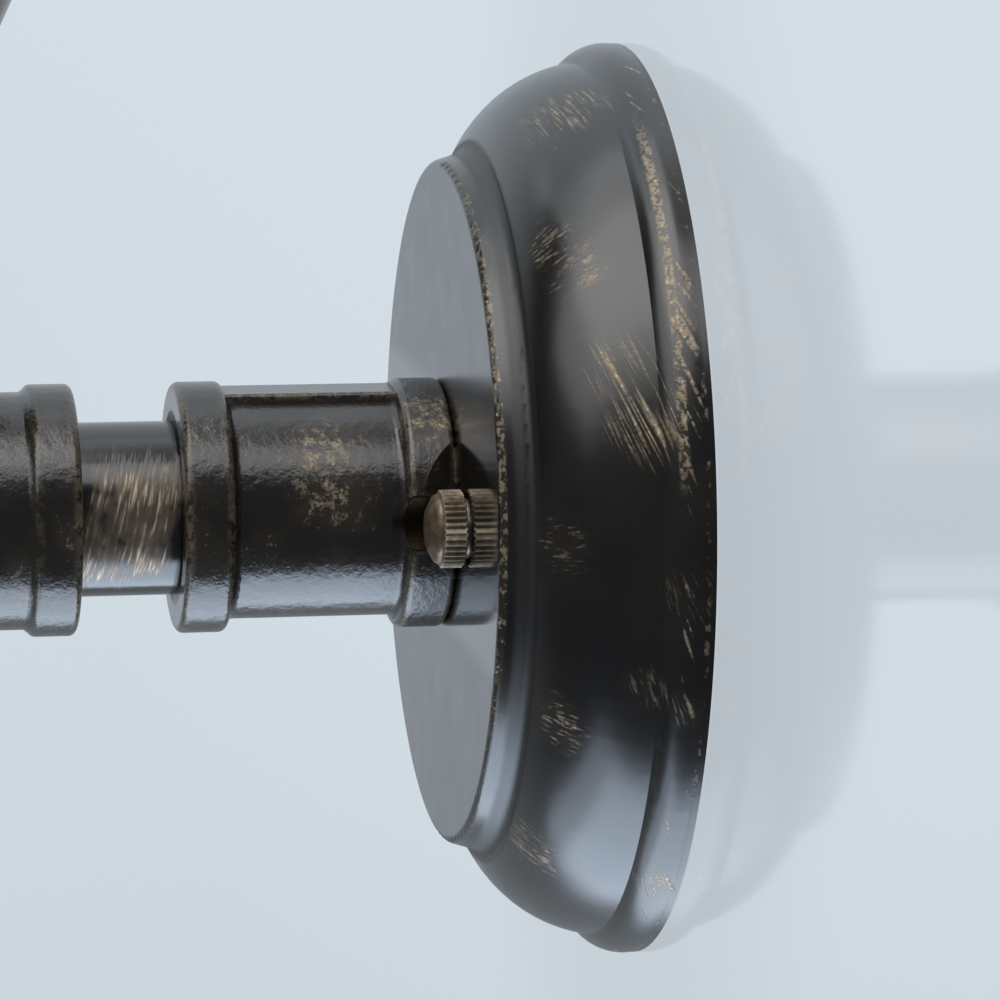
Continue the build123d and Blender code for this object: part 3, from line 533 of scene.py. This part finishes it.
# Bare lengths of the two pipes, and the coupling's pockets beside the nuts (mm)
ARM_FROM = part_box("elbow")[1].y * MM
ARM_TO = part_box("coupling")[0].y * MM
RISER_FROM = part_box("elbow")[1].z * MM
RISER_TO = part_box("lamp_cup")[0].z * MM
RISER_Y = sum(corner.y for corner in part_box("lamp_cup")) / 2 * MM
NUT_LOW, NUT_HIGH = [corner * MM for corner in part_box("knurled_nut_right")]
NUT_MIDDLE = (NUT_LOW + NUT_HIGH) / 2
POCKET_RUN = 3.2
POCKET_GAP = 0.35
POCKET_END = Vector((NUT_MIDDLE.x, NUT_LOW.y - POCKET_RUN, NUT_MIDDLE.z))
NUT_POCKETS = [(POCKET_END, (NUT_HIGH.x - NUT_LOW.x) / 2 + POCKET_GAP)]
SLANT = 0.2

FINISHES = {
    "canopy_paint": canopy_paint("canopy_paint"),
    "coupling_iron": cast_iron("coupling_iron", COUPLING_WORN, NUT_POCKETS),
    "elbow_iron": cast_iron("elbow_iron"),
    "cup_paint": cast_iron("cup_paint"),
    "arm_pipe": brushed_pipe(
        "arm_pipe",
        middle=(0, (ARM_FROM + ARM_TO) / 2, 0),
        half=(ARM_TO - ARM_FROM) / 2,
        slant=(0, 1, -SLANT),
        sides=[(1, 0, 0), (0, 0, 1)],
    ),
    "riser_pipe": brushed_pipe(
        "riser_pipe",
        middle=(0, RISER_Y, (RISER_FROM + RISER_TO) / 2),
        half=(RISER_TO - RISER_FROM) / 2,
        slant=(0, -SLANT, 1),
        sides=[(1, 0, 0), (0, 1, 0)],
    ),
    "nut_bronze": knurled_bronze("nut_bronze"),
}
for table, finish in [(METALS, bare_metal), (MOULDINGS, moulded), (GLASSES, clear_glass)]:
    FINISHES.update({name: finish(name, *values) for name, values in table.items()})


def dress_nodes():
    """Gives each CAD node the finish of its slot in the record."""
    for subpart in frame["record"]["subparts"]:
        piece = nodes[subpart["node"]]
        for slot in piece.material_slots:
            slot.material = FINISHES[subpart["material_slot"]]


def plane(name, corners, material):
    mesh = bpy.data.meshes.new(name)
    mesh.from_pydata(corners, [], [(0, 1, 2, 3)])
    piece = bpy.data.objects.new(name, mesh)
    piece.data.materials.append(material)
    bpy.context.scene.collection.objects.link(piece)
    return piece


def wall_finish():
    """Pale glossy wall: its own tone with painted light darker towards the bottom, painted shade around the
    canopy, and a mirror image; open from behind.
    """
    material, g = new_graph("pale_wall")
    x, _, z = g.parts(g.place())
    # Painted shade on the wall around the canopy, and painted light that falls off towards the bottom.
    canopy_shade = g.rise(g.math("SQRT", x * x + z * z), WALL_SHADE_END, WALL_SHADE_FULL)
    light_fall = g.num("MapRange", "Result", {"Value": z, **WALL_LIGHT_FALL})
    tone = g.node("Emission", {"Color": PALE_WALL, "Strength": light_fall - canopy_shade * WALL_SHADE})
    shine = g.node("BsdfGlossy", {"Color": (1, 1, 1, 1), "Roughness": WALL_ROUGHNESS})
    fresnel = g.node("Fresnel", {"IOR": WALL_IOR}).outputs[0]
    share = g.math("MINIMUM", fresnel, WALL_SHINE_MOST)
    front = g.node("MixShader", {0: share, 1: tone.outputs[0], 2: shine.outputs[0]})
    gone = g.node("BsdfTransparent", {})
    behind = g.node("NewGeometry", {}).outputs["Backfacing"]
    sides = g.node("MixShader", {0: behind, 1: front.outputs[0], 2: gone.outputs[0]})
    g.tree.links.new(sides.outputs[0], g.output.inputs["Surface"])
    return material


def floor_finish():
    material, g = new_graph("pale_floor")
    cloud = g.noise(g.place(), 300.0, 2.0, 0.5)
    g.surface(Base_Color=g.mix(cloud, PALE_WALL, PALE_FLOOR), Roughness=0.6)
    return material


def build_stage():
    """A pale wall behind the canopy and a pale floor well below it."""
    square = [(across * STAGE_HALF, along * STAGE_HALF) for across, along in SQUARE]
    wall = plane("wall", [(x, WALL_Y, z) for x, z in square], wall_finish())
    wall.visible_glossy = False
    wall.visible_diffuse = False
    wall.visible_transmission = True
    wall.visible_shadow = False
    floor = plane("floor", [(x, y, FLOOR_Z) for x, y in square], floor_finish())
    floor.visible_glossy = False


def softbox(name, centre, width, depth, radiance, colour):
    """A flat level lamp of that brightness, facing down from above the sconce or up from below it."""
    lamp = bpy.data.lights.new(name, "AREA")
    lamp.shape = "RECTANGLE"
    lamp.size = width
    lamp.size_y = depth
    lamp.color = colour
    lamp.energy = radiance * math.pi * width * depth
    piece = bpy.data.objects.new(name, lamp)
    piece.location = centre
    piece.rotation_euler = (math.pi if centre[2] < 0 else 0, 0, 0)
    piece.visible_camera = False
    bpy.context.scene.collection.objects.link(piece)


def build_light():
    """Cool softboxes below, white ones above, and a room pale beyond the sconce and dark elsewhere."""
    for name, settings in SOFTBOXES.items():
        softbox(name, *settings)
    world = bpy.data.worlds.new("studio")
    bpy.context.scene.world = world
    world.use_nodes = True
    g = Graph(world.node_tree, "ShaderNodeOutputWorld")
    x, y, z = g.parts(g.node("TexCoord", {}).outputs["Generated"])
    rays = g.node("LightPath", {})
    seen = g.math("MAXIMUM", rays.outputs["Is Camera Ray"], rays.outputs["Is Transmission Ray"])
    pale = g.rise(x, 0.10, -0.50) * g.rise(y, -0.98, -0.45) * (g.rise(z, -0.45, -0.16) * 0.55 + 0.45)
    room = g.mix(pale, ROOM_DARK, PALE_WALL)
    plain = g.mix(rays.outputs["Is Glossy Ray"], ROOM_PLAIN, room)
    light = g.node("Background", {"Color": g.mix(seen, plain, PALE_WALL), "Strength": 1.0})
    g.tree.links.new(light.outputs[0], g.output.inputs["Surface"])


def build_camera():
    data = bpy.data.cameras.new("camera")
    data.sensor_width = CAMERA_SENSOR
    data.lens = CAMERA_LENS
    camera = bpy.data.objects.new("camera", data)
    camera.location = CAMERA_PLACE
    level = Vector(CAMERA_AIM).to_track_quat("-Z", "Y")
    camera.rotation_euler = (level @ Quaternion((0, 0, 1), CAMERA_ROLL)).to_euler()
    bpy.context.scene.collection.objects.link(camera)
    bpy.context.scene.camera = camera


dress_nodes()
build_stage()
build_light()
build_camera()
bpy.context.scene.view_settings.view_transform = "Standard"
